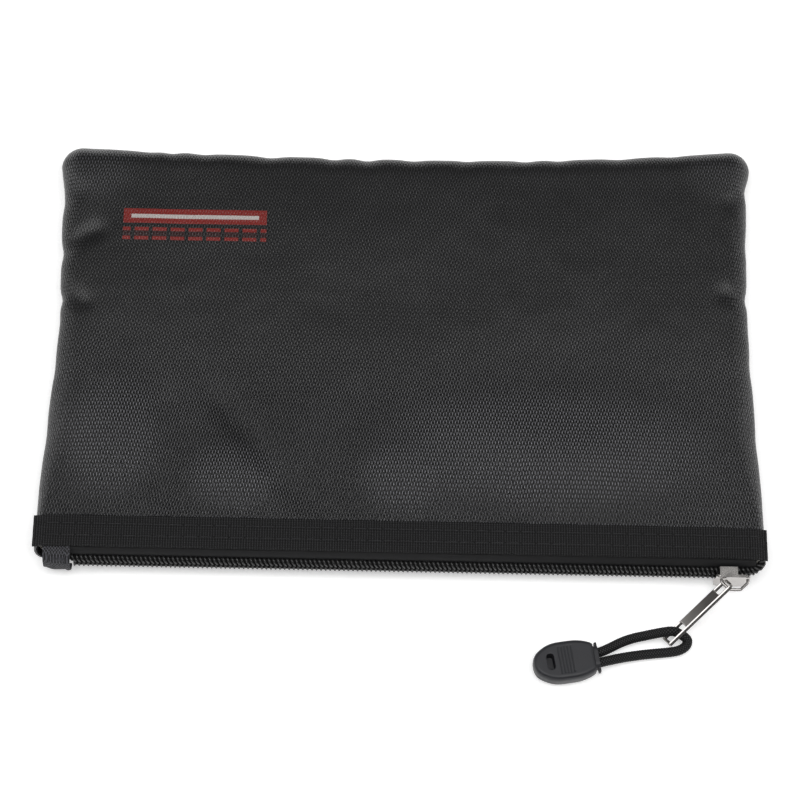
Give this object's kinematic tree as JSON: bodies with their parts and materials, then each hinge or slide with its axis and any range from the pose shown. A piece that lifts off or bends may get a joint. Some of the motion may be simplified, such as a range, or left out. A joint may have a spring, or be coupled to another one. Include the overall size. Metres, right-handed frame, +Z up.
{
  "type": "zipped fireproof battery pouch",
  "caption": "Flat fireproof pouch in coated glass cloth with a bound coil-zip mouth, metal slider and pull tab, and a braided cord loop with a moulded end.",
  "frame": {"origin": "on the flat underside, at the middle of the cloth panel", "axes": "+X runs along the zipped mouth towards the closed end, +Y from the mouth to the far seam, +Z up"},
  "size_m": [0.269, 0.2186, 0.0157],
  "materials": {
    "coated_cloth": "satin, woven glass cloth with a black coating",
    "felt": "matt needled insulation felt",
    "foil_lining": "foil-faced glass cloth",
    "grosgrain": "matt ribbed ribbon",
    "zip_tape": "matt woven tape",
    "zip_coil": "satin polyester monofilament",
    "thread": "sewing thread",
    "nickel": "black nickel plate",
    "braid": "braided cord",
    "soft_plastic": "soft matt moulding"
  },
  "bodies": {
    "bag": {"outer_bottom_panel": "coated_cloth", "felt_bottom": "felt", "lining_bottom": "foil_lining", "binding_bottom": "grosgrain", "stitch_row_bottom_rear": "thread", "stitch_row_bottom_front": "thread", "zip_tape_lower": "zip_tape", "zip_coil_lower": "zip_coil", "zip_end_tab": "zip_tape"},
    "top_panel": {"outer_top_panel": "coated_cloth", "felt_top": "felt", "lining_top": "foil_lining", "binding_top": "grosgrain", "stitch_row_top_rear": "thread", "stitch_row_top_front": "thread", "zip_tape_upper": "zip_tape", "zip_coil_upper": "zip_coil"},
    "slider": {"slider_body": "nickel", "slider_bail": "nickel"},
    "pull": {"pull_tab": "nickel"},
    "pull_end": {"pull_cord": "braid", "cord_knot": "braid", "cord_end_shell": "soft_plastic", "cord_end_plug": "soft_plastic"}
  },
  "joints": [
    {"name": "slider_slide", "type": "slide", "parent": "bag", "child": "slider", "axis": [-1, 0, 0], "range_m": [0, 0.234], "deforming": ["zip_tape_lower", "zip_tape_upper", "zip_coil_lower", "zip_coil_upper"]},
    {"name": "mouth_open", "type": "hinge", "parent": "bag", "child": "top_panel", "pos_m": [0, 0.085, 0.007], "axis": [-1, 0, 0], "range_deg": [0, 8], "deforming": ["zip_tape_lower", "zip_tape_upper", "zip_coil_lower", "zip_coil_upper"]},
    {"name": "pull_swing", "type": "hinge", "parent": "slider", "child": "pull", "pos_m": [0.1187, -0.095, 0.0112], "axis": [-0.7071, 0.7071, 0], "range_deg": [0, 100]},
    {"name": "pull_end_swing", "type": "hinge", "parent": "pull", "child": "pull_end", "pos_m": [0.10096, -0.11116, 0.00457], "axis": [0, 0, 1], "range_deg": [-20, 30], "deforming": ["pull_cord"]}
  ],
  "couplings": [
    {"joint": "mouth_open", "follows": "slider_slide", "rad_per_m": 0.5966}
  ]
}
